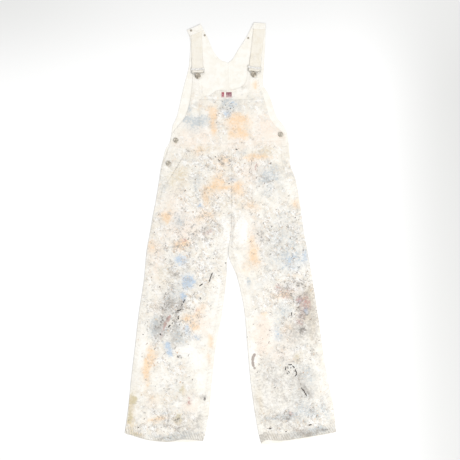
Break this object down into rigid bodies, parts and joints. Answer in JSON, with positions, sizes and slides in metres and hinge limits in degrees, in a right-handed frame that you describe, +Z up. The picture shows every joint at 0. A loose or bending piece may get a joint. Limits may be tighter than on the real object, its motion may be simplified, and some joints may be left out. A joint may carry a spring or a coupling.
{
  "type": "paint spattered bib overalls laid flat",
  "caption": "Painter's bib overalls in off-white canvas, laid flat front up, with patch pockets, webbing straps on hooks and buttons, and old paint all over.",
  "frame": {"origin": "middle of the outline on the surface that the garment lies on, under its back", "axes": "+Y from the hems to the shoulders, +X to the viewer's right with the front up, +Z up from the surface"},
  "size_m": [0.7177, 1.436, 0.0101],
  "materials": {
    "canvas": "washed cotton canvas with old paint",
    "webbing": "woven elastic webbing",
    "metal": "dark aged plating, worn at the edges",
    "label": "plain woven tab"
  },
  "bodies": {
    "root": {"back_leg_left": "canvas", "back_leg_right": "canvas", "back_bib_left": "canvas", "back_bib_right": "canvas", "front_leg_left": "canvas", "front_leg_right": "canvas", "waistband": "canvas", "front_bib": "canvas", "front_pocket_left": "canvas", "front_pocket_right": "canvas", "side_placket_left": "canvas", "side_placket_right": "canvas", "fly_placket": "canvas", "bib_pocket": "canvas", "shoulder_tab_left": "canvas", "shoulder_tab_right": "canvas", "webbing_left": "webbing", "webbing_right": "webbing", "slide_left": "metal", "slide_right": "metal", "hook_left": "metal", "hook_right": "metal", "bib_button_left": "metal", "bib_button_right": "metal", "side_button_left_upper": "metal", "side_button_left_lower": "metal", "side_button_right_upper": "metal", "rivet_tab_left": "metal", "rivet_notch_left": "metal", "rivet_notch_right": "metal", "bib_label": "label"}
  },
  "joints": []
}
